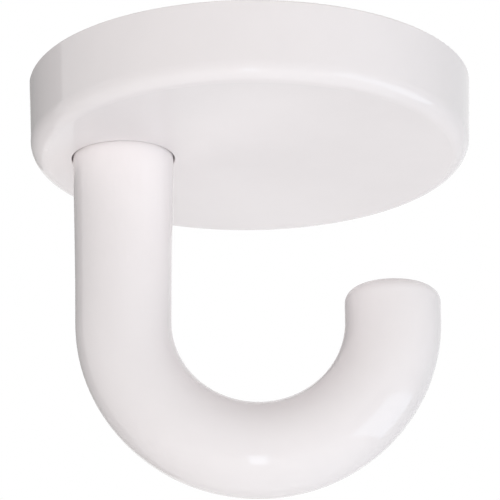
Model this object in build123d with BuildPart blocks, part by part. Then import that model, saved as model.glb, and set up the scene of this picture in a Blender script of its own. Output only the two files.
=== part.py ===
from build123d import *
import os
from math import radians, tan

# Round-bar hook in white moulded nylon, made to hang from a ceiling or from under a shelf.
# The origin is the centre of the ceiling face and +Z points up into the ceiling.
# The bar bends in the XZ plane, with the shank at -X and the free tip at +X.
# The hook is screwed to a steel plate, the plate is screwed to the ceiling from below,
# and the rosette slides up the shank and snaps over the plate's edge.

# Rosette: the round cover against the ceiling
rosette_radius = 45.0
rosette_depth = 16.1
rosette_rim_wall = 3.0
rosette_face_wall = 3.0
rosette_draft_angle = 1.6
rosette_edge_radius = 3.5
rosette_inner_corner_radius = 1.0
rosette_ceiling_edge_break = 0.4
shank_hole_edge_break = 0.25

# Hook: a drafted round shank, a half-turn bend and a short straight tip
shank_offset = 25.8
shank_end_radius = 10.3
bar_radius = 9.7
bend_radius = 27.1
bend_depth = 51.3
bend_start_angle = 180.0
bend_turn = 180.0
tip_length = 6.5
tip_edge_radius = 2.8
shank_end_chamfer = 0.6

# Mounting plate: a steel disc with a bevelled edge on its ceiling side
plate_thickness = 4.0
plate_edge_chamfer = 1.5
plate_lower_edge_break = 0.4
fixing_circle_radius = 30.0
fixing_hole_count = 3
fixing_hole_radius = 2.75
fixing_countersink_radius = 5.2
countersink_angle = 90.0

# Hook screw: a countersunk machine screw with a hexagon socket
screw_radius = 3.0
screw_length = 16.0
screw_head_radius = 6.0
screw_head_land = 0.3
screw_head_below_face = 0.15
screw_end_chamfer = 0.6
socket_across_flats = 4.0
socket_depth = 2.2

# Threaded insert: a knurled brass bush pressed into the shank's end
insert_radius = 4.4
insert_length = 12.0
insert_knurl_count = 20
insert_knurl_depth = 0.35
insert_waist_length = 2.4
insert_waist_depth = 0.6
insert_bore_chamfer = 0.5

# Two pegs on the shank's end that keep the hook from turning on the plate
peg_count = 2
peg_radius = 1.5
peg_height = 2.2
peg_circle_radius = 7.6
peg_start_angle = 90.0

# Guide collar, ribs and snap beads inside the rosette
collar_wall = 2.0
collar_height = 5.0
rib_count = 6
rib_thickness = 1.8
rib_length = 9.0
rib_foot_length = 3.0
rib_start_angle = 30.0
bead_count = 3
bead_arc = 26.0
bead_projection = 0.9
bead_top = 0.15
bead_height = 1.35
bead_crest_height = 0.3
moulded_root = 0.6

# Clearances
shank_slide_gap = 0.15
plate_edge_gap = 0.5
screw_hole_gap = 0.3
countersink_gap = 0.1
thread_gap = 0.05
insert_gap = 0.05
insert_floor_gap = 0.3
peg_gap = 0.15
peg_floor_gap = 0.3
screw_relief = 1.5

# Places worked out from the sizes above
full_turn = 360.0
rim_slope = tan(radians(rosette_draft_angle))
rosette_face_z = -rosette_depth
rosette_floor_z = rosette_face_z + rosette_face_wall
rim_inner_radius = rosette_radius - rosette_rim_wall
rim_face_radius = rosette_radius - rosette_depth * rim_slope
rim_floor_radius = rim_inner_radius + rosette_floor_z * rim_slope
plate_underside_z = -plate_thickness
plate_radius = rim_inner_radius - plate_thickness * rim_slope - plate_edge_gap
shank_hole_radius = shank_end_radius + shank_slide_gap
bend_centre_x = bend_radius - shank_offset
bend_centre_z = -bend_depth
screw_head_z = -screw_head_below_face
screw_end_z = screw_head_z - screw_length
screw_body_radius = screw_radius - thread_gap
insert_end_z = plate_underside_z - insert_length
insert_socket_radius = insert_radius + insert_gap
insert_socket_depth = insert_length + insert_floor_gap
screw_relief_radius = screw_radius + screw_hole_gap
screw_relief_depth = plate_underside_z - screw_end_z + screw_relief
countersink_slope = tan(radians(countersink_angle / 2))
head_cone_height = (screw_head_radius - screw_body_radius) / countersink_slope
head_land_depth = screw_head_below_face + screw_head_land
head_countersink_radius = screw_head_radius + head_land_depth * countersink_slope + countersink_gap

os.makedirs("parts", exist_ok=True)

# Rosette

with BuildPart() as rosette:
    # Section of the drafted cup, turned about the vertical axis
    with BuildSketch(Plane.XZ):
        with BuildLine():
            Polyline(
                (0, rosette_face_z),
                (rim_face_radius, rosette_face_z),
                (rosette_radius, 0),
                (rim_inner_radius, 0),
                (rim_floor_radius, rosette_floor_z),
                (0, rosette_floor_z),
                close=True,
            )
        make_face()
    revolve(axis=Axis.Z)
    rim_edges = rosette.edges().filter_by(GeomType.CIRCLE)
    fillet(rim_edges.group_by(Axis.Z)[0], radius=rosette_edge_radius)
    floor_edges = rosette.edges().filter_by(GeomType.CIRCLE).filter_by_position(
        Axis.Z, rosette_floor_z, rosette_floor_z
    )
    fillet(floor_edges, radius=rosette_inner_corner_radius)
    ceiling_edges = rosette.edges().filter_by(GeomType.CIRCLE).group_by(Axis.Z)[-1]
    fillet(ceiling_edges.sort_by(SortBy.RADIUS)[-1], radius=rosette_ceiling_edge_break)

    # Collar that guides the cover along the shank
    with BuildSketch(Plane.XY.offset(rosette_floor_z - moulded_root)):
        with Locations((-shank_offset, 0)):
            Circle(shank_hole_radius + collar_wall)
    extrude(amount=collar_height + moulded_root)

    # Ribs inside the rim, whose tops bear on the underside of the plate
    for rib_index in range(rib_count):
        rib_angle = rib_start_angle + rib_index * full_turn / rib_count
        with BuildSketch(Plane.XZ.rotated((0, 0, rib_angle))):
            with BuildLine():
                Polyline(
                    (rim_floor_radius + moulded_root, plate_underside_z),
                    (rim_floor_radius - rib_length, plate_underside_z),
                    (rim_floor_radius - rib_length - rib_foot_length, rosette_floor_z - moulded_root),
                    (rim_floor_radius + moulded_root, rosette_floor_z - moulded_root),
                    close=True,
                )
            make_face()
        extrude(amount=rib_thickness / 2, both=True)

    # Beads that snap past the plate's edge and sit in its bevel
    bead_wall_radius = rim_inner_radius + moulded_root
    bead_crest_radius = rim_inner_radius - bead_projection
    bead_middle_z = -bead_top - bead_height / 2
    for bead_index in range(bead_count):
        bead_start = bead_index * full_turn / bead_count - bead_arc / 2
        with BuildSketch(Plane.XZ.rotated((0, 0, bead_start))):
            with BuildLine():
                Polyline(
                    (bead_wall_radius, -bead_top),
                    (rim_inner_radius, -bead_top),
                    (bead_crest_radius, bead_middle_z + bead_crest_height),
                    (bead_crest_radius, bead_middle_z),
                    (rim_inner_radius, -bead_top - bead_height),
                    (bead_wall_radius, -bead_top - bead_height),
                    close=True,
                )
            make_face()
        revolve(axis=Axis.Z, revolution_arc=bead_arc)

    # Hole for the shank, with its lower edge broken where the seam shows
    with BuildSketch(Plane.XY.offset(rosette_face_z)):
        with Locations((-shank_offset, 0)):
            Circle(shank_hole_radius)
    extrude(amount=rosette_depth, mode=Mode.SUBTRACT)
    seam_edges = rosette.edges().filter_by(GeomType.CIRCLE).filter_by_position(
        Axis.Z, rosette_face_z, rosette_face_z
    )
    fillet(seam_edges.sort_by(SortBy.RADIUS)[0], radius=shank_hole_edge_break)

rosette.part.label = "rosette"

# Hook

with BuildPart() as hook:
    # Drafted shank: its side leaves the bend upright and swells towards the plate
    with BuildSketch(Plane.XZ):
        with BuildLine():
            shank_side = Spline(
                (bar_radius - shank_offset, bend_centre_z),
                (shank_end_radius - shank_offset, plate_underside_z),
                tangents=((0, 1), (0, 1)),
            )
            Polyline(
                shank_side @ 1,
                (-shank_offset, plate_underside_z),
                (-shank_offset, bend_centre_z),
                shank_side @ 0,
            )
        make_face()
    revolve(axis=Axis((-shank_offset, 0, 0), (0, 0, 1)))

    # Half-turn bend and straight tip, swept from the foot of the shank
    with BuildLine(Plane.XZ) as bend_line:
        bend = CenterArc((bend_centre_x, bend_centre_z), bend_radius, bend_start_angle, bend_turn)
        tip = Line(bend @ 1, bend @ 1 + tip_length * (bend % 1))
    with BuildSketch(Plane(origin=bend @ 0, z_dir=bend % 0)):
        Circle(bar_radius)
    sweep(path=bend_line.line)
    tip_face = hook.faces().sort_by_distance(tip @ 1)[0]
    fillet(tip_face.edges(), radius=tip_edge_radius)
    shank_end_face = hook.faces().sort_by_distance((-shank_offset, 0, plate_underside_z))[0]
    chamfer(shank_end_face.edges(), length=shank_end_chamfer)

    # Socket for the insert, and room below it for the end of the screw
    with BuildSketch(Plane.XY.offset(plate_underside_z)):
        with Locations((-shank_offset, 0)):
            Circle(insert_socket_radius)
    extrude(amount=-insert_socket_depth, mode=Mode.SUBTRACT)
    with BuildSketch(Plane.XY.offset(plate_underside_z)):
        with Locations((-shank_offset, 0)):
            Circle(screw_relief_radius)
    extrude(amount=-screw_relief_depth, mode=Mode.SUBTRACT)

    # Pegs that enter the plate
    with BuildSketch(Plane.XY.offset(plate_underside_z)):
        with Locations((-shank_offset, 0)):
            with PolarLocations(peg_circle_radius, peg_count, start_angle=peg_start_angle):
                Circle(peg_radius)
    extrude(amount=peg_height)

hook.part.label = "hook"

# Mounting plate

with BuildPart() as mounting_plate:
    with BuildSketch(Plane.XY.offset(plate_underside_z)):
        Circle(plate_radius)
    extrude(amount=plate_thickness)
    disc_edges = mounting_plate.edges().filter_by(GeomType.CIRCLE).sort_by(Axis.Z)
    chamfer(disc_edges[-1], length=plate_edge_chamfer)
    chamfer(disc_edges[0], length=plate_lower_edge_break)

    # Fixing holes, countersunk from the room side
    with Locations(Plane((0, 0, plate_underside_z), x_dir=(1, 0, 0), z_dir=(0, 0, -1))):
        with PolarLocations(fixing_circle_radius, fixing_hole_count):
            CounterSinkHole(
                fixing_hole_radius,
                fixing_countersink_radius,
                depth=plate_thickness,
                counter_sink_angle=countersink_angle,
            )

    # Hole for the hook screw, countersunk from the ceiling side
    with Locations((-shank_offset, 0, 0)):
        CounterSinkHole(
            screw_radius + screw_hole_gap,
            head_countersink_radius,
            depth=plate_thickness,
            counter_sink_angle=countersink_angle,
        )

    # Blind holes for the pegs
    with BuildSketch(Plane.XY.offset(plate_underside_z)):
        with Locations((-shank_offset, 0)):
            with PolarLocations(peg_circle_radius, peg_count, start_angle=peg_start_angle):
                Circle(peg_radius + peg_gap)
    extrude(amount=peg_height + peg_floor_gap, mode=Mode.SUBTRACT)

mounting_plate.part.label = "mounting_plate"

# Hook screw

with BuildPart() as hook_screw:
    with BuildSketch(Plane.XZ):
        with BuildLine():
            Polyline(
                (-shank_offset, screw_head_z),
                (screw_head_radius - shank_offset, screw_head_z),
                (screw_head_radius - shank_offset, screw_head_z - screw_head_land),
                (screw_body_radius - shank_offset, screw_head_z - screw_head_land - head_cone_height),
                (screw_body_radius - shank_offset, screw_end_z),
                (-shank_offset, screw_end_z),
                close=True,
            )
        make_face()
    revolve(axis=Axis((-shank_offset, 0, 0), (0, 0, 1)))
    chamfer(hook_screw.edges().group_by(Axis.Z)[0], length=screw_end_chamfer)
    with BuildSketch(Plane.XY.offset(screw_head_z)):
        with Locations((-shank_offset, 0)):
            RegularPolygon(socket_across_flats / 2, side_count=6, major_radius=False)
    extrude(amount=-socket_depth, mode=Mode.SUBTRACT)

hook_screw.part.label = "hook_screw"

# Threaded insert

with BuildPart() as threaded_insert:
    # Bush with a straight knurl of V grooves
    with BuildSketch(Plane.XY.offset(insert_end_z)):
        with Locations((-shank_offset, 0)):
            Circle(insert_radius)
            with PolarLocations(insert_radius, insert_knurl_count):
                RegularPolygon(insert_knurl_depth, side_count=4, mode=Mode.SUBTRACT)
    extrude(amount=insert_length)

    # Plain waist between the two knurled bands, which the nylon grips
    waist_middle_z = insert_end_z + insert_length / 2
    with BuildSketch(Plane.XY.offset(waist_middle_z - insert_waist_length / 2)):
        with Locations((-shank_offset, 0)):
            Circle(insert_radius + insert_gap)
            Circle(insert_radius - insert_waist_depth, mode=Mode.SUBTRACT)
    extrude(amount=insert_waist_length, mode=Mode.SUBTRACT)

    # Bore for the screw
    with BuildSketch(Plane.XY.offset(insert_end_z)):
        with Locations((-shank_offset, 0)):
            Circle(screw_radius)
    extrude(amount=insert_length, mode=Mode.SUBTRACT)
    bore_mouth = threaded_insert.edges().filter_by(GeomType.CIRCLE).group_by(Axis.Z)[-1]
    chamfer(bore_mouth.sort_by(SortBy.RADIUS)[0], length=insert_bore_chamfer)

threaded_insert.part.label = "threaded_insert"

export_step(rosette.part, "parts/rosette.step")
export_step(hook.part, "parts/hook.step")
export_step(mounting_plate.part, "parts/mounting_plate.step")
export_step(hook_screw.part, "parts/hook_screw.step")
export_step(threaded_insert.part, "parts/threaded_insert.step")
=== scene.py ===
import logging
import math
from abc import ABC, abstractmethod
from dataclasses import dataclass
from enum import Enum
from typing import Any, Callable

import bpy
from mathutils import Matrix, Vector


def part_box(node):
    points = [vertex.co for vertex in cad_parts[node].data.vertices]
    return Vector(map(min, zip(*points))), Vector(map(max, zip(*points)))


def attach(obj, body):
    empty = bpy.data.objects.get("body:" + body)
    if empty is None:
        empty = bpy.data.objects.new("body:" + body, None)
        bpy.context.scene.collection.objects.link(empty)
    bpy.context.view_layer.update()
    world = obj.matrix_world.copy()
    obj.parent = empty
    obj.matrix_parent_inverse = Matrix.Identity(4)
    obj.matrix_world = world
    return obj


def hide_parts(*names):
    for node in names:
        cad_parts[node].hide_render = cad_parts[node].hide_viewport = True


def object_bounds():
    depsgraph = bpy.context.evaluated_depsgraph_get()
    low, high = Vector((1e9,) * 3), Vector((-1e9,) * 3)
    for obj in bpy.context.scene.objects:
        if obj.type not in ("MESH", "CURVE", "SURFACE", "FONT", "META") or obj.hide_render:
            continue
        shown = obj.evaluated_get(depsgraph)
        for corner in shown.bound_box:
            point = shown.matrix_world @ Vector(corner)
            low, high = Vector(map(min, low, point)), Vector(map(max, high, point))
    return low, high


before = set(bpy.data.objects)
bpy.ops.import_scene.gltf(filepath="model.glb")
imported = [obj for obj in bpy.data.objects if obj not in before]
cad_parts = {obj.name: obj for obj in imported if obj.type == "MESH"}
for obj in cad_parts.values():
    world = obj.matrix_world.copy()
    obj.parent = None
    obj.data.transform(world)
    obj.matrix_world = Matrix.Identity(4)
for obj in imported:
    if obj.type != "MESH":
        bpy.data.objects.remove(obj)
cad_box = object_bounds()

logging.basicConfig(level=logging.INFO, format="%(message)s")
log = logging.getLogger("ceiling_hook")

# One millimetre in metres
MM = 0.001

BODY = "root"
WHITE = "#FFFFFF"

# Most of a noise pattern lies between these two values
NOISE_LOW = 0.3
NOISE_HIGH = 0.7

Socket = bpy.types.NodeSocket
Tree = bpy.types.NodeTree
# The radius and the height of each point of a ring, in millimetres
Ring = list[tuple[float, float]]


class Node(Enum):
    """The CAD nodes of the hook, by their names in model.glb."""

    ROSETTE = "rosette"
    HOOK = "hook"
    PLATE = "mounting_plate"
    SCREW = "hook_screw"
    INSERT = "threaded_insert"


class Slot(Enum):
    """The record's material slots of the screw and the insert."""

    SCREW = "zinc_plated_screw"
    INSERT = "brass_insert"


class ShaderNode(Enum):
    """The kinds of shader node that the finishes and the studio use."""

    COORDINATES = "ShaderNodeTexCoord"
    MAPPING = "ShaderNodeMapping"
    SEPARATE = "ShaderNodeSeparateXYZ"
    COMBINE = "ShaderNodeCombineXYZ"
    VECTOR_MATH = "ShaderNodeVectorMath"
    NOISE = "ShaderNodeTexNoise"
    MAP_RANGE = "ShaderNodeMapRange"
    MIX = "ShaderNodeMix"
    MATH = "ShaderNodeMath"
    BUMP = "ShaderNodeBump"
    PRINCIPLED = "ShaderNodeBsdfPrincipled"
    DIFFUSE = "ShaderNodeBsdfDiffuse"
    TRANSPARENT = "ShaderNodeBsdfTransparent"
    EMISSION = "ShaderNodeEmission"
    ADD_SHADER = "ShaderNodeAddShader"
    MIX_SHADER = "ShaderNodeMixShader"
    BACKGROUND = "ShaderNodeBackground"
    LIGHT_PATH = "ShaderNodeLightPath"
    GEOMETRY = "ShaderNodeNewGeometry"
    OUTPUT = "ShaderNodeOutputMaterial"
    WORLD_OUTPUT = "ShaderNodeOutputWorld"


def srgb(code: str) -> tuple[float, float, float, float]:
    """Turns an sRGB hex code to the linear colour that a shader takes.

    Args:
        code: The colour as "#RRGGBB".

    Returns:
        Linear red, green and blue, and an alpha of 1.
    """
    parts = [int(code[start:start + 2], 16) / 255 for start in (1, 3, 5)]
    # The curve of the sRGB standard: a straight foot, then a power
    linear = [
        part / 12.92 if part <= 0.04045 else ((part + 0.055) / 1.055) ** 2.4 for part in parts
    ]
    return (*linear, 1.0)


def add_node(
    tree: Tree,
    kind: ShaderNode,
    values: dict[str | int, Any] | None = None,
    links: dict[str | int, Socket] | None = None,
    **settings: Any,
) -> bpy.types.Node:
    """Adds a node with its settings, its constant sockets and the links into it.

    Args:
        tree: The node tree that gets the node.
        kind: The kind of node.
        values: Constant values by input socket.
        links: Output sockets to link, by input socket.
        **settings: The node's own properties.

    Returns:
        The new node.
    """
    node = tree.nodes.new(kind.value)
    for name, value in settings.items():
        setattr(node, name, value)
    for socket, value in (values or {}).items():
        node.inputs[socket].default_value = value
    for socket, source in (links or {}).items():
        tree.links.new(source, node.inputs[socket])
    return node


def new_material(name: str) -> tuple[bpy.types.Material, Tree]:
    """Makes an empty node material.

    Args:
        name: The material's name.

    Returns:
        The material and its node tree.
    """
    material = bpy.data.materials.new(name)
    material.use_nodes = True
    material.node_tree.nodes.clear()
    return material, material.node_tree


@dataclass(frozen=True)
class Finish(ABC):
    """A surface whose colour, roughness and relief come from procedural patterns.

    Attributes:
        name: The material's name.
    """

    name: str

    @abstractmethod
    def lay_out(self, tree: Tree) -> None:
        """Lays out the patterns and the shader in an empty node tree."""

    def build(self) -> bpy.types.Material:
        """Builds the node material.

        Returns:
            The new material.
        """
        material, tree = new_material(self.name)
        self.lay_out(tree)
        return material

    def close(
        self,
        tree: Tree,
        metallic: float,
        colour: Socket,
        roughness: Socket,
        normal: Socket,
        **constants: float,
    ) -> None:
        """Joins the patterns in one shader.

        Args:
            tree: The node tree.
            metallic: 1 for bare or plated metal, and 0 otherwise.
            colour: The colour pattern.
            roughness: The roughness pattern.
            normal: The relief.
            **constants: The shader's other constant sockets, by name.
        """
        shader = add_node(
            tree,
            ShaderNode.PRINCIPLED,
            {"Metallic": metallic, **constants},
            {"Base Color": colour, "Roughness": roughness, "Normal": normal},
        )
        add_node(tree, ShaderNode.OUTPUT, links={"Surface": shader.outputs["BSDF"]})

    def dress(self, piece: bpy.types.Object) -> None:
        """Puts the finish on a piece, in place of what it wears."""
        piece.data.materials.clear()
        piece.data.materials.append(self.build())


@dataclass(frozen=True)
class MouldedPolyamide(Finish):
    """White polyamide, injection moulded in a polished steel tool.

    The eye gets a clean, slightly warm white with a soft gloss: highlights have sharp edges,
    and a faint flow ripple from the shrinking melt makes them waver a little.

    Attributes:
        colour: Colour of most of the surface.
        mottle_colour: Colour of the faint cloudy patches that the melt leaves.
        ior: Refractive index of dry polyamide.
        roughness: Lowest and highest roughness over the surface.
        mottle_mm: Size of the cloudy patches.
        ripple_mm: Length of the flow ripple.
        ripple_height_mm: Height of the flow ripple.
        grain_mm: Size of the polishing grain, drawn coarser than the real 0.05 mm so that it
            shows.
        grain_height_mm: Height of the polishing grain.
        parting_line_mm: Width of the raised line where the halves of the tool met, or 0 for none.
            It is drawn wider than the real 0.1 mm so that it shows.
        parting_line_height_mm: Height of that line.
    """

    colour: str = "#F1EBEB"
    mottle_colour: str = "#EEE8E8"
    ior: float = 1.53
    roughness: tuple[float, float] = (0.055, 0.09)
    mottle_mm: float = 7.0
    ripple_mm: float = 6.0
    ripple_height_mm: float = 0.004
    grain_mm: float = 0.35
    grain_height_mm: float = 0.0008
    parting_line_mm: float = 0.0
    parting_line_height_mm: float = 0.01

    def lay_out(self, tree: Tree) -> None:
        """Lays out the cloudy white, the ripple, the grain and the parting line.

        Args:
            tree: An empty node tree.
        """
        place = add_node(tree, ShaderNode.COORDINATES).outputs["Object"]
        mottle = add_node(
            tree,
            ShaderNode.NOISE,
            {"Scale": 1 / (self.mottle_mm * MM), "Detail": 3.0},
            {"Vector": place},
        )
        ripple = add_node(
            tree,
            ShaderNode.NOISE,
            {"Scale": 1 / (self.ripple_mm * MM), "Detail": 1.0},
            {"Vector": place},
        )
        grain = add_node(
            tree,
            ShaderNode.NOISE,
            {"Scale": 1 / (self.grain_mm * MM), "Detail": 2.0},
            {"Vector": place},
        )
        colour = add_node(
            tree,
            ShaderNode.MIX,
            {"A": srgb(self.colour), "B": srgb(self.mottle_colour)},
            {"Factor": mottle.outputs["Fac"]},
            data_type="RGBA",
        )
        low, high = self.roughness
        roughness = add_node(
            tree,
            ShaderNode.MAP_RANGE,
            {"From Min": NOISE_LOW, "From Max": NOISE_HIGH, "To Min": low, "To Max": high},
            {"Value": grain.outputs["Fac"]},
        )
        relief = add_node(
            tree,
            ShaderNode.BUMP,
            {"Strength": 1.0, "Distance": self.ripple_height_mm * MM},
            {"Height": ripple.outputs["Fac"]},
        )
        relief = add_node(
            tree,
            ShaderNode.BUMP,
            {"Strength": 1.0, "Distance": self.grain_height_mm * MM},
            {"Height": grain.outputs["Fac"], "Normal": relief.outputs["Normal"]},
        )
        if self.parting_line_mm:
            relief = self.lay_parting_line(tree, place, relief.outputs["Normal"])
        self.close(
            tree,
            metallic=0.0,
            colour=colour.outputs["Result"],
            roughness=roughness.outputs["Result"],
            normal=relief.outputs["Normal"],
            IOR=self.ior,
        )

    def lay_parting_line(self, tree: Tree, place: Socket, normal: Socket) -> bpy.types.Node:
        """Raises a thin line in the piece's plane of symmetry.

        Args:
            tree: The node tree.
            place: Object coordinates.
            normal: The relief so far.

        Returns:
            The bump node with the line added.
        """
        across = add_node(tree, ShaderNode.SEPARATE, links={0: place})
        distance = add_node(
            tree, ShaderNode.MATH, links={0: across.outputs["Y"]}, operation="ABSOLUTE"
        )
        edge = self.parting_line_mm / 2 * MM
        line = add_node(
            tree,
            ShaderNode.MAP_RANGE,
            {"From Min": 0.0, "From Max": edge, "To Min": 1.0, "To Max": 0.0},
            {"Value": distance.outputs["Value"]},
            interpolation_type="SMOOTHSTEP",
        )
        return add_node(
            tree,
            ShaderNode.BUMP,
            {"Strength": 1.0, "Distance": self.parting_line_height_mm * MM},
            {"Height": line.outputs["Result"], "Normal": normal},
        )


@dataclass(frozen=True)
class ZincPlatedSheet(Finish):
    """Cold-rolled sheet steel with a bright zinc plating.

    The eye gets a cool silver with fine straight rolling lines and a faint cloudy bloom.

    Attributes:
        colour: Colour of the bright plating.
        bloom_colour: Colour of the cloudy bloom.
        roughness: Lowest and highest roughness over the surface.
        line_mm: Spacing of the rolling lines, drawn coarser than the real 0.1 mm so that they
            show.
        line_length_mm: Length of a rolling line.
        line_height_mm: Depth of the rolling lines.
        bloom_mm: Size of the bloom's clouds.
    """

    colour: str = "#D3D6DA"
    bloom_colour: str = "#B5BAC1"
    roughness: tuple[float, float] = (0.26, 0.42)
    line_mm: float = 0.25
    line_length_mm: float = 18.0
    line_height_mm: float = 0.003
    bloom_mm: float = 11.0

    def lay_out(self, tree: Tree) -> None:
        """Lays out the rolling lines and the bloom.

        Args:
            tree: An empty node tree.
        """
        place = add_node(tree, ShaderNode.COORDINATES).outputs["Object"]
        across, along = 1 / (self.line_mm * MM), 1 / (self.line_length_mm * MM)
        stretched = add_node(
            tree, ShaderNode.MAPPING, {"Scale": (along, across, across)}, {"Vector": place}
        )
        lines = add_node(
            tree,
            ShaderNode.NOISE,
            {"Scale": 1.0, "Detail": 2.0},
            {"Vector": stretched.outputs["Vector"]},
        )
        bloom = add_node(
            tree,
            ShaderNode.NOISE,
            {"Scale": 1 / (self.bloom_mm * MM), "Detail": 4.0},
            {"Vector": place},
        )
        colour = add_node(
            tree,
            ShaderNode.MIX,
            {"A": srgb(self.colour), "B": srgb(self.bloom_colour)},
            {"Factor": bloom.outputs["Fac"]},
            data_type="RGBA",
        )
        low, high = self.roughness
        roughness = add_node(
            tree,
            ShaderNode.MAP_RANGE,
            {"From Min": NOISE_LOW, "From Max": NOISE_HIGH, "To Min": low, "To Max": high},
            {"Value": lines.outputs["Fac"]},
        )
        relief = add_node(
            tree,
            ShaderNode.BUMP,
            {"Strength": 1.0, "Distance": self.line_height_mm * MM},
            {"Height": lines.outputs["Fac"]},
        )
        self.close(
            tree,
            metallic=1.0,
            colour=colour.outputs["Result"],
            roughness=roughness.outputs["Result"],
            normal=relief.outputs["Normal"],
        )


@dataclass(frozen=True)
class TurnedMetal(Finish):
    """Metal turned on a lathe, bare brass or plated steel.

    The eye gets fine rings round the piece's own axis, which draw its highlights out sideways,
    and a slow change of colour where the plating or the brass has dulled.

    Attributes:
        colour: Colour of the bright metal.
        dull_colour: Colour of the dulled patches.
        axis_mm: Where the piece's upright axis stands, as X and Y.
        roughness: Lowest and highest roughness over the surface.
        ring_mm: Spacing of the turning rings.
        ring_height_mm: Depth of the turning rings.
        patch_mm: Size of the dulled patches.
    """

    colour: str
    dull_colour: str
    axis_mm: tuple[float, float]
    roughness: tuple[float, float] = (0.2, 0.36)
    ring_mm: float = 0.12
    ring_height_mm: float = 0.004
    patch_mm: float = 3.0

    def lay_out(self, tree: Tree) -> None:
        """Lays out the turning rings and the dulled patches.

        Args:
            tree: An empty node tree.
        """
        place = add_node(tree, ShaderNode.COORDINATES).outputs["Object"]
        axis = (*(value * MM for value in self.axis_mm), 0.0)
        middle = add_node(
            tree, ShaderNode.VECTOR_MATH, {1: axis}, {0: place}, operation="SUBTRACT"
        )
        flat = add_node(
            tree,
            ShaderNode.VECTOR_MATH,
            {1: (1.0, 1.0, 0.0)},
            {0: middle.outputs["Vector"]},
            operation="MULTIPLY",
        )
        radius = add_node(
            tree, ShaderNode.VECTOR_MATH, links={0: flat.outputs["Vector"]}, operation="LENGTH"
        )
        height = add_node(tree, ShaderNode.SEPARATE, links={0: place})
        profile = add_node(
            tree,
            ShaderNode.COMBINE,
            links={"X": radius.outputs["Value"], "Z": height.outputs["Z"]},
        )
        rings = add_node(
            tree,
            ShaderNode.NOISE,
            {"Scale": 1 / (self.ring_mm * MM), "Detail": 2.0},
            {"Vector": profile.outputs["Vector"]},
        )
        patches = add_node(
            tree,
            ShaderNode.NOISE,
            {"Scale": 1 / (self.patch_mm * MM), "Detail": 4.0},
            {"Vector": place},
        )
        colour = add_node(
            tree,
            ShaderNode.MIX,
            {"A": srgb(self.colour), "B": srgb(self.dull_colour)},
            {"Factor": patches.outputs["Fac"]},
            data_type="RGBA",
        )
        low, high = self.roughness
        roughness = add_node(
            tree,
            ShaderNode.MAP_RANGE,
            {"From Min": NOISE_LOW, "From Max": NOISE_HIGH, "To Min": low, "To Max": high},
            {"Value": rings.outputs["Fac"]},
        )
        relief = add_node(
            tree,
            ShaderNode.BUMP,
            {"Strength": 1.0, "Distance": self.ring_height_mm * MM},
            {"Height": rings.outputs["Fac"]},
        )
        self.close(
            tree,
            metallic=1.0,
            colour=colour.outputs["Result"],
            roughness=roughness.outputs["Result"],
            normal=relief.outputs["Normal"],
        )


@dataclass(frozen=True)
class MetricThread:
    """A right-hand metric thread, as a radius that changes with height and angle.

    Attributes:
        radius_mm: Radius over the crests of the screw.
        pitch_mm: Distance from crest to crest.
        crest_share: Width of a crest, as a share of the pitch.
        depth_share: Depth of the thread, as a share of the pitch.
        flank_degrees: Slope of a flank, half of the angle between two flanks.
        steps: Mesh rows to a pitch.
    """

    radius_mm: float
    pitch_mm: float = 1.0
    crest_share: float = 0.125
    depth_share: float = 0.613
    flank_degrees: float = 30.0
    steps: int = 18

    def radius_at(self, height_mm: float, angle: float) -> float:
        """Gives the radius of the screw's flank.

        Args:
            height_mm: Height along the axis.
            angle: Angle about the axis, in radians.

        Returns:
            The radius in millimetres.
        """
        phase = (height_mm / self.pitch_mm - angle / math.tau) % 1
        flank_share = self.depth_share * math.tan(math.radians(self.flank_degrees))
        below_crest = (abs(phase - 0.5) - self.crest_share / 2) / flank_share
        return self.radius_mm - self.depth_share * self.pitch_mm * min(max(below_crest, 0.0), 1.0)

    def rows(self, start_mm: float, end_mm: float) -> list[float]:
        """Gives the heights of the mesh rows from start to end."""
        count = round(abs(end_mm - start_mm) / self.pitch_mm * self.steps)
        return [start_mm + (end_mm - start_mm) * index / count for index in range(count + 1)]


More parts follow.
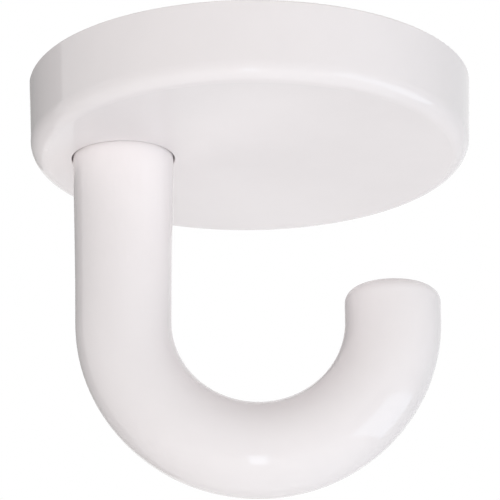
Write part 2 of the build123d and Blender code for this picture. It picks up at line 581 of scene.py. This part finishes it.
@dataclass(frozen=True)
class Turning:
    """A mesh of rings round one upright axis, for the pieces made on a lathe.

    Attributes:
        name: The piece's name.
        axis_mm: Where the axis stands, as X and Y.
        sides: Points to a ring.
        sharp_degrees: Turn between two faces from which their edge stays sharp.
    """

    name: str
    axis_mm: tuple[float, float]
    sides: int
    sharp_degrees: float = 28.0

    def ring(self, height_mm: float, radius_at: Callable[[float], float]) -> Ring:
        """Gives one ring.

        Args:
            height_mm: Height of the ring.
            radius_at: Radius by the angle about the axis.

        Returns:
            Radius and height of each point, in millimetres.
        """
        angles = (math.tau * index / self.sides for index in range(self.sides))
        return [(radius_at(angle), height_mm) for angle in angles]

    def round_ring(self, height_mm: float, radius_mm: float) -> Ring:
        """Gives one round ring, as radius and height of each point."""
        return self.ring(height_mm, lambda angle: radius_mm)

    def build(
        self, rings: list[Ring], tips_mm: tuple[float, float] | None = None
    ) -> bpy.types.Object:
        """Joins the rings in a closed mesh.

        Args:
            rings: The rings in order, going down on the outside.
            tips_mm: Heights on the axis that close the first and the last ring, or none where
                the last ring joins the first.

        Returns:
            The new object.
        """
        points, faces = [], []
        for ring in rings:
            for index, (radius, height) in enumerate(ring):
                angle = math.tau * index / self.sides
                x = self.axis_mm[0] + radius * math.cos(angle)
                y = self.axis_mm[1] + radius * math.sin(angle)
                points.append(Vector((x, y, height)) * MM)
        last = len(rings) if tips_mm is None else len(rings) - 1
        for row in range(last):
            upper, lower = row * self.sides, (row + 1) % len(rings) * self.sides
            for index in range(self.sides):
                after = (index + 1) % self.sides
                faces.append((upper + index, lower + index, lower + after, upper + after))
        if tips_mm is not None:
            for tip, start, turn in ((tips_mm[0], 0, 1), (tips_mm[1], last * self.sides, -1)):
                points.append(Vector((*self.axis_mm, tip)) * MM)
                for index in range(self.sides):
                    pair = (start + index, start + (index + 1) % self.sides)
                    faces.append((*pair[::turn], len(points) - 1))
        mesh = bpy.data.meshes.new(self.name)
        mesh.from_pydata(points, [], faces)
        mesh.shade_smooth()
        mesh.set_sharp_from_angle(angle=math.radians(self.sharp_degrees))
        piece = bpy.data.objects.new(self.name, mesh)
        bpy.context.scene.collection.objects.link(piece)
        return piece


@dataclass(frozen=True)
class Rosette:
    """The round cover against the ceiling, moulded in one piece with its collar, ribs and beads.

    Attributes:
        ripple_mm: Length of the flow ripple on its broad face.
    """

    ripple_mm: float = 8.0

    def build(self) -> list[bpy.types.Object]:
        """Dresses the cover.

        Returns:
            The cover's object.
        """
        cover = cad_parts[Node.ROSETTE.value]
        MouldedPolyamide("white_polyamide_cover", ripple_mm=self.ripple_mm).dress(cover)
        return [cover]


@dataclass(frozen=True)
class Hook:
    """The round bar: a drafted shank, a half-turn bend and a short tip, moulded in one piece.

    Attributes:
        ripple_mm: Length of the flow ripple along the bar.
        parting_line_mm: Width of the parting line along the middle of the bar.
    """

    ripple_mm: float = 6.0
    parting_line_mm: float = 0.24

    def build(self) -> list[bpy.types.Object]:
        """Dresses the bar.

        Returns:
            The bar's object.
        """
        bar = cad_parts[Node.HOOK.value]
        finish = MouldedPolyamide(
            "white_polyamide_bar",
            ripple_mm=self.ripple_mm,
            parting_line_mm=self.parting_line_mm,
        )
        finish.dress(bar)
        return [bar]


@dataclass(frozen=True)
class HookScrew:
    """The countersunk M6 screw that holds the hook under the plate, with its real thread.

    Attributes:
        thread: The thread of its shank.
        head_radius_mm: Radius of the head.
        head_edge_mm: Break of the head's upper edge.
        land_mm: Height of the head's upright edge.
        socket_mm: Width of the hexagon socket across its flats.
        socket_depth_mm: Depth of the socket.
        socket_break_mm: Break of the socket's mouth.
        drill_point_mm: Depth of the drill point below the socket.
        neck_mm: Plain length between the head's cone and the thread.
        end_chamfer_mm: Chamfer of the screw's end.
        sides: Points round the screw, a whole number to each side of the socket.
    """

    thread: MetricThread = MetricThread(radius_mm=2.95)
    head_radius_mm: float = 6.0
    head_edge_mm: float = 0.12
    land_mm: float = 0.3
    socket_mm: float = 4.0
    socket_depth_mm: float = 2.2
    socket_break_mm: float = 0.12
    drill_point_mm: float = 0.5
    neck_mm: float = 0.6
    end_chamfer_mm: float = 0.6
    sides: int = 72

    def socket_radius(self, angle: float) -> float:
        """Gives the socket's radius at an angle, with corners every sixth of a turn."""
        sixth = math.tau / 6
        return self.socket_mm / 2 / math.cos(angle % sixth - sixth / 2)

    def build(self) -> list[bpy.types.Object]:
        """Builds the screw in the place of its CAD node.

        Returns:
            The screw.
        """
        low, high = (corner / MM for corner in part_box(Node.SCREW.value))
        axis = ((low.x + high.x) / 2, (low.y + high.y) / 2)
        turning = Turning("hook_screw_threaded", axis, self.sides)
        top, end = high.z, low.z
        socket_floor = top - self.socket_depth_mm
        # The cone slopes at 45 degrees, so it is as high as it is wide
        cone_end = top - self.land_mm - (self.head_radius_mm - self.thread.radius_mm)
        thread_start = cone_end - self.neck_mm
        rings = [
            turning.ring(socket_floor, self.socket_radius),
            turning.ring(top - self.socket_break_mm, self.socket_radius),
            turning.ring(
                top, lambda angle: self.socket_radius(angle) + self.socket_break_mm
            ),
            turning.round_ring(top, self.head_radius_mm - self.head_edge_mm),
            turning.round_ring(top - self.head_edge_mm, self.head_radius_mm),
            turning.round_ring(top - self.land_mm, self.head_radius_mm),
            turning.round_ring(cone_end, self.thread.radius_mm),
        ]
        rings += [
            turning.ring(
                height, lambda angle: self.shank_radius(height, angle, thread_start, end)
            )
            for height in self.thread.rows(thread_start, end)
        ]
        screw = turning.build(rings, (socket_floor - self.drill_point_mm, end))
        steel = TurnedMetal(
            "zinc_plated_turned_steel", colour="#CDD1D6", dull_colour="#A9AEB6", axis_mm=axis
        )
        steel.dress(screw)
        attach(screw, BODY)
        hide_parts(Node.SCREW.value)
        return [screw]

    def shank_radius(
        self, height_mm: float, angle: float, start_mm: float, end_mm: float
    ) -> float:
        """Gives the radius of the threaded shank.

        Args:
            height_mm: Height of the point.
            angle: Angle about the axis, in radians.
            start_mm: Height where the thread starts.
            end_mm: Height of the screw's end.

        Returns:
            The radius in millimetres, of a thread that runs out below the neck and in the
            chamfer.
        """
        cut = min((start_mm - height_mm) / self.thread.pitch_mm, 1.0)
        plain = self.thread.radius_mm
        chamfer = plain - self.end_chamfer_mm + (height_mm - end_mm)
        return min(plain - cut * (plain - self.thread.radius_at(height_mm, angle)), chamfer)


@dataclass(frozen=True)
class ThreadedInsert:
    """The knurled brass bush in the shank's end, with its real inner thread.

    Attributes:
        thread: The thread that its bore holds.
        thread_gap_mm: Play between the screw's thread and its own.
        radius_mm: Radius over the knurl.
        bore_mm: Radius of the bore between the threads.
        groove_count: V grooves round the knurl.
        groove_mm: Depth of a groove, and half of its width.
        waist_mm: Length of the plain waist.
        waist_depth_mm: Depth of the waist.
        mouth_chamfer_mm: Chamfer of the bore's upper mouth.
        groove_sides: Points round the bush to each groove.
    """

    thread: MetricThread = MetricThread(radius_mm=2.95, steps=14)
    thread_gap_mm: float = 0.05
    radius_mm: float = 4.4
    bore_mm: float = 2.46
    groove_count: int = 20
    groove_mm: float = 0.35
    waist_mm: float = 2.4
    waist_depth_mm: float = 0.6
    mouth_chamfer_mm: float = 0.5
    groove_sides: int = 8

    def knurl_radius(self, angle: float) -> float:
        """Gives the radius of the knurl, with a V groove at each step round the bush.

        Args:
            angle: Angle about the axis, in radians.

        Returns:
            The radius in millimetres.
        """
        step = math.tau / self.groove_count
        from_groove = abs((angle + step / 2) % step - step / 2) * self.radius_mm
        return self.radius_mm - max(self.groove_mm - from_groove, 0.0)

    def bore_radius(self, height_mm: float, angle: float, top_mm: float) -> float:
        """Gives the radius of the threaded bore, which opens in a chamfer at the top.

        Args:
            height_mm: Height of the point.
            angle: Angle about the axis, in radians.
            top_mm: Height of the bush's top.

        Returns:
            The radius in millimetres.
        """
        thread = max(self.thread.radius_at(height_mm, angle) + self.thread_gap_mm, self.bore_mm)
        open_radius = self.thread.radius_mm + self.thread_gap_mm + self.mouth_chamfer_mm
        return max(thread, open_radius - (top_mm - height_mm))

    def build(self) -> list[bpy.types.Object]:
        """Builds the bush in the place of its CAD node.

        Returns:
            The bush.
        """
        low, high = (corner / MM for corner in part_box(Node.INSERT.value))
        axis = ((low.x + high.x) / 2, (low.y + high.y) / 2)
        sides = self.groove_count * self.groove_sides
        turning = Turning("threaded_insert_knurled", axis, sides)
        top, end = high.z, low.z
        waist_top = (top + end + self.waist_mm) / 2
        waist_end = waist_top - self.waist_mm
        waist_radius = self.radius_mm - self.waist_depth_mm
        rings = [
            turning.ring(top, self.knurl_radius),
            turning.ring(waist_top, self.knurl_radius),
            turning.round_ring(waist_top, waist_radius),
            turning.round_ring(waist_end, waist_radius),
            turning.ring(waist_end, self.knurl_radius),
            turning.ring(end, self.knurl_radius),
        ]
        rings += [
            turning.ring(height, lambda angle: self.bore_radius(height, angle, top))
            for height in self.thread.rows(end, top)
        ]
        bush = turning.build(rings)
        brass = TurnedMetal(
            "turned_brass",
            colour="#D9BC6E",
            dull_colour="#B8944A",
            axis_mm=axis,
            roughness=(0.22, 0.4),
        )
        brass.dress(bush)
        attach(bush, BODY)
        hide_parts(Node.INSERT.value)
        return [bush]


@dataclass(frozen=True)
class FixingSet:
    """What the rosette hides: the mounting plate, the hook's screw and the insert.

    Attributes:
        screw: The hook's screw.
        insert: The threaded insert.
    """

    screw: HookScrew = HookScrew()
    insert: ThreadedInsert = ThreadedInsert()

    def build(self) -> list[bpy.types.Object]:
        """Dresses the plate, and builds the screw and the insert.

        Returns:
            The plate, the screw and the insert.
        """
        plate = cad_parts[Node.PLATE.value]
        ZincPlatedSheet("zinc_plated_sheet_steel").dress(plate)
        return [plate, *self.screw.build(), *self.insert.build()]


@dataclass(frozen=True)
class SoftLamp:
    """A rectangular soft lamp that faces the hook.

    Attributes:
        name: The lamp's name.
        azimuth: Direction from the hook, in degrees; 0 is the camera's side and 90 is +X.
        elevation: Height above the horizon, in degrees.
        level: Light that it gives to a surface that faces it, where 1 shows a colour as written.
        width: Width of the lamp, in metres.
        height: Height of the lamp, in metres.
        distance: Distance from the hook, in metres.
        mirrored: Whether the gloss shows the lamp, or the white surround behind it.
        colour: Colour of the light.
    """

    name: str
    azimuth: float
    elevation: float
    level: float
    width: float
    height: float
    distance: float = 1.2
    mirrored: bool = False
    colour: str = WHITE

    def build(self) -> None:
        """Builds the lamp."""
        light = bpy.data.lights.new(self.name, "AREA")
        light.shape = "RECTANGLE"
        light.size = self.width
        light.size_y = self.height
        # A white surface that faces a lamp of this power shows the level
        light.energy = self.level * math.pi**2 * self.distance**2
        light.color = srgb(self.colour)[:3]
        lamp = bpy.data.objects.new(self.name, light)
        lamp.visible_camera = False
        lamp.visible_glossy = self.mirrored
        bpy.context.scene.collection.objects.link(lamp)
        face_hook(lamp, self.azimuth, self.elevation, self.distance)


@dataclass(frozen=True)
class GreyCard:
    """A card with an even grey tone, which the gloss of the hook reflects.

    Its reflection draws the edges of a white object on white. The camera doesn't see it, and it
    gives the hook neither light nor shadow.

    Attributes:
        name: The card's name.
        azimuth: Direction from the hook, in degrees.
        elevation: Height above the horizon, in degrees.
        width: Width of the card, in metres.
        height: Height of the card, in metres.
        distance: Distance from the hook, in metres.
        colour: Tone that its reflection has.
    """

    name: str
    azimuth: float
    elevation: float
    width: float
    height: float
    distance: float = 0.6
    colour: str = "#A0A0A0"

    def build(self) -> None:
        """Builds the card."""
        material, tree = new_material(self.name + "_tone")
        tone = add_node(
            tree, ShaderNode.EMISSION, {"Color": srgb(self.colour), "Strength": 1.0}
        )
        add_node(tree, ShaderNode.OUTPUT, links={"Surface": tone.outputs["Emission"]})
        card = flat_sheet(self.name, self.width, self.height, material)
        face_hook(card, self.azimuth, self.elevation, self.distance)
        card.visible_camera = card.visible_diffuse = card.visible_shadow = False


def flat_sheet(
    name: str, width: float, height: float, material: bpy.types.Material
) -> bpy.types.Object:
    """Makes a flat sheet of the studio.

    Args:
        name: The sheet's name.
        width: Width of the sheet, in metres.
        height: Height of the sheet, in metres.
        material: The sheet's material.

    Returns:
        The sheet.
    """
    mesh = bpy.data.meshes.new(name)
    x, y = width / 2, height / 2
    mesh.from_pydata([(-x, -y, 0), (x, -y, 0), (x, y, 0), (-x, y, 0)], [], [(0, 1, 2, 3)])
    mesh.materials.append(material)
    sheet = bpy.data.objects.new(name, mesh)
    bpy.context.scene.collection.objects.link(sheet)
    return sheet


def seen_directly(tree: Tree) -> Socket:
    """Adds nodes that tell what is looked at from what only gives light.

    Args:
        tree: The node tree that gets the nodes.

    Returns:
        A socket that gives 1 to the camera, to gloss and to clear material, and 0 otherwise.
    """
    path = add_node(tree, ShaderNode.LIGHT_PATH)
    seen = path.outputs["Is Camera Ray"]
    for ray in ("Is Glossy Ray", "Is Transmission Ray"):
        either = add_node(
            tree, ShaderNode.MATH, links={0: seen, 1: path.outputs[ray]}, operation="MAXIMUM"
        )
        seen = either.outputs["Value"]
    return seen


def face_hook(
    thing: bpy.types.Object, azimuth: float, elevation: float, distance: float
) -> None:
    """Stands a lamp or a card at a direction and distance, and turns it to the hook's centre.

    Args:
        thing: The lamp or card.
        azimuth: Direction from the hook, in degrees; 0 is the camera's side and 90 is +X.
        elevation: Height above the horizon, in degrees.
        distance: Distance from the hook, in metres.
    """
    turn, rise = math.radians(azimuth), math.radians(elevation)
    level = math.cos(rise)
    out = Vector((math.sin(turn) * level, -math.cos(turn) * level, math.sin(rise)))
    thing.location = (cad_box[0] + cad_box[1]) / 2 + out * distance
    thing.rotation_mode = "QUATERNION"
    thing.rotation_quaternion = (-out).to_track_quat("-Z", "Y")


# Each has its name, azimuth, elevation, level, width, height and at times its distance
LAMPS = (
    SoftLamp("front_fill", 0, -12, 0.67, 1.60, 1.00, 1.4),
    SoftLamp("right_fill", 90, 0, 0.18, 0.90, 0.90),
    SoftLamp("rear_low_fill", 180, -30, 0.455, 0.90, 0.90, 1.1),
    SoftLamp("left_low_fill", 270, -30, 0.16, 0.90, 0.90, 1.1),
    SoftLamp("overhead_fill", 0, 80, 0.30, 0.90, 0.90),
    SoftLamp("window", 78, -26, 0.205, 1.35, 0.50, mirrored=True, colour="#DDF0FF"),
    SoftLamp("glint_strip", 0, -42, 0.033, 0.13, 0.40, 1.1, mirrored=True, colour="#E0F0FF"),
)

CARDS = (GreyCard("left_card", 222, 15, 0.55, 1.10),)


@dataclass(frozen=True)
class Studio:
    """A large pale floor, a white surround, soft lamps and the cards beside the hook.

    Attributes:
        floor_drop: Distance of the floor below the ceiling face, in metres.
        floor_size: Side of the floor, in metres.
        floor_colour: Colour of the floor.
        floor_glow: White that the camera, gloss and clear material see on the floor besides the
            light on it.
        surround_colour: Colour of the light from the surround.
        surround_level: Light that the surround gives.
        lamps: The soft lamps.
        cards: The grey cards.
    """

    floor_drop: float = 1.0
    floor_size: float = 60.0
    floor_colour: str = "#F4F3F2"
    floor_glow: float = 0.6
    surround_colour: str = WHITE
    surround_level: float = 0.25
    lamps: tuple[SoftLamp, ...] = LAMPS
    cards: tuple[GreyCard, ...] = CARDS

    def build(self) -> None:
        """Builds the surround, the floor, the lamps and the cards."""
        self.build_surround()
        self.build_floor()
        for thing in (*self.lamps, *self.cards):
            thing.build()

    def build_surround(self) -> None:
        """Lights the scene evenly, and shows plain white to the camera and in reflections."""
        world = bpy.data.worlds.new("studio_surround")
        world.use_nodes = True
        tree = world.node_tree
        tree.nodes.clear()
        light = add_node(
            tree,
            ShaderNode.BACKGROUND,
            {"Color": srgb(self.surround_colour), "Strength": self.surround_level},
        )
        white = add_node(tree, ShaderNode.BACKGROUND, {"Color": srgb(WHITE), "Strength": 1.0})
        mix = add_node(
            tree,
            ShaderNode.MIX_SHADER,
            links={
                0: seen_directly(tree),
                1: light.outputs["Background"],
                2: white.outputs["Background"],
            },
        )
        add_node(tree, ShaderNode.WORLD_OUTPUT, links={"Surface": mix.outputs["Shader"]})
        bpy.context.scene.world = world

    def build_floor(self) -> None:
        """Builds the pale floor, which is see-through from underneath only."""
        material, tree = new_material("white_paper_floor")
        side = add_node(tree, ShaderNode.GEOMETRY)
        paper = add_node(tree, ShaderNode.DIFFUSE, {"Color": srgb(self.floor_colour)})
        strength = add_node(
            tree,
            ShaderNode.MATH,
            {1: self.floor_glow},
            {0: seen_directly(tree)},
            operation="MULTIPLY",
        )
        glow = add_node(
            tree,
            ShaderNode.EMISSION,
            {"Color": srgb(WHITE)},
            {"Strength": strength.outputs["Value"]},
        )
        lit = add_node(
            tree,
            ShaderNode.ADD_SHADER,
            links={0: paper.outputs["BSDF"], 1: glow.outputs["Emission"]},
        )
        clear = add_node(tree, ShaderNode.TRANSPARENT)
        mix = add_node(
            tree,
            ShaderNode.MIX_SHADER,
            links={
                0: side.outputs["Backfacing"],
                1: lit.outputs["Shader"],
                2: clear.outputs["BSDF"],
            },
        )
        add_node(tree, ShaderNode.OUTPUT, links={"Surface": mix.outputs["Shader"]})
        floor = flat_sheet("studio_floor", self.floor_size, self.floor_size, material)
        floor.location.z = -self.floor_drop


@dataclass(frozen=True)
class PhotoCamera:
    """The photograph's camera: a long lens that looks up at the hook from 20 degrees below.

    Attributes:
        azimuth: Turn of the camera round the hook, in degrees.
        rise: Angle by which it looks up, in degrees.
        roll: Tilt of the picture, in degrees.
        distance: Distance from the aim, in metres.
        aim_mm: Point that the picture's centre shows.
        focal_pixels: Focal length in pixels of the 500 pixel frame.
        frame_pixels: Width of the frame.
        sensor_mm: Width of the sensor.
        clip: Nearest and farthest distance that it sees, in metres.
    """

    azimuth: float = 0.43
    rise: float = 20.16
    roll: float = -0.57
    distance: float = 1.0
    aim_mm: tuple[float, float, float] = (-0.23, -2.96, -36.96)
    focal_pixels: float = 4964.0
    frame_pixels: float = 500.0
    sensor_mm: float = 36.0
    clip: tuple[float, float] = (0.05, 200.0)

    def build(self) -> None:
        """Builds the camera and makes it the scene's own."""
        data = bpy.data.cameras.new("photo_camera")
        data.sensor_width = self.sensor_mm
        data.lens = self.focal_pixels / self.frame_pixels * self.sensor_mm
        data.clip_start, data.clip_end = self.clip
        camera = bpy.data.objects.new("photo_camera", data)
        angles = (self.azimuth, self.rise, self.roll)
        turn, rise, roll = (math.radians(angle) for angle in angles)
        ahead = (math.sin(turn) * math.cos(rise), math.cos(turn) * math.cos(rise))
        forward = Vector((*ahead, math.sin(rise)))
        level = Vector((math.cos(turn), -math.sin(turn), 0.0))
        upright = level.cross(forward)
        right = math.cos(roll) * level + math.sin(roll) * upright
        up = math.cos(roll) * upright - math.sin(roll) * level
        axes = Matrix((right, up, -forward)).transposed()
        place = Vector(self.aim_mm) * MM - forward * self.distance
        camera.matrix_world = Matrix.Translation(place) @ axes.to_4x4()
        bpy.context.scene.collection.objects.link(camera)
        bpy.context.scene.camera = camera


def main() -> None:
    """Builds the hook's pieces in order, then the studio and the camera."""
    bpy.context.scene.view_settings.view_transform = "Standard"
    for assembly in (Rosette(), Hook(), FixingSet()):
        for piece in assembly.build():
            faces = len(piece.data.polygons)
            log.info("%s: %s with %d faces", type(assembly).__name__, piece.name, faces)
    Studio().build()
    PhotoCamera().build()


if __name__ == "__main__":
    main()
